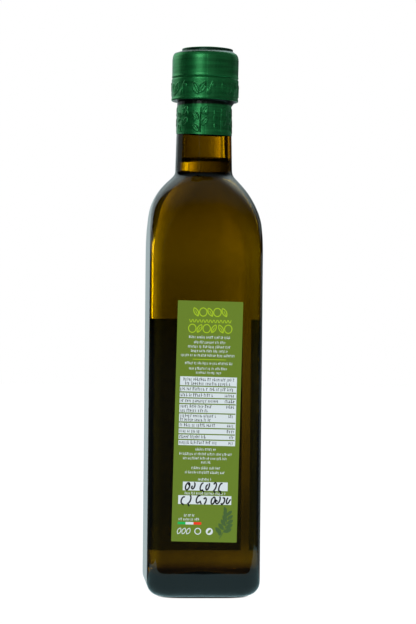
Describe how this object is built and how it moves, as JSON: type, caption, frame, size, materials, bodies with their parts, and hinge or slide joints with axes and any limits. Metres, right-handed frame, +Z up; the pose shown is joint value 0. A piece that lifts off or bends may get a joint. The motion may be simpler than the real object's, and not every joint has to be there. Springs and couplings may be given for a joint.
{
  "type": "olive oil bottle",
  "caption": "Tall square bottle of dark green glass filled with olive oil, with a green capsule over its closure and neck and a label on its front and back.",
  "frame": {"origin": "centre of the base, on the surface that the bottle stands on", "axes": "+Z up through the neck; -Y out of the face with the back label; +Y out of the face with the front label"},
  "size_m": [0.0566, 0.0578, 0.2748],
  "materials": {
    "bottle_glass": "gloss, clear olive-green glass",
    "oil": "gloss, clear yellow-green liquid",
    "capsule": "satin metallic green film",
    "back_label": "satin printed film",
    "front_label": "satin printed film"
  },
  "bodies": {
    "root": {"glass_bottle": "bottle_glass", "oil": "oil", "capsule": "capsule", "back_label": "back_label", "front_label": "front_label"}
  },
  "joints": []
}
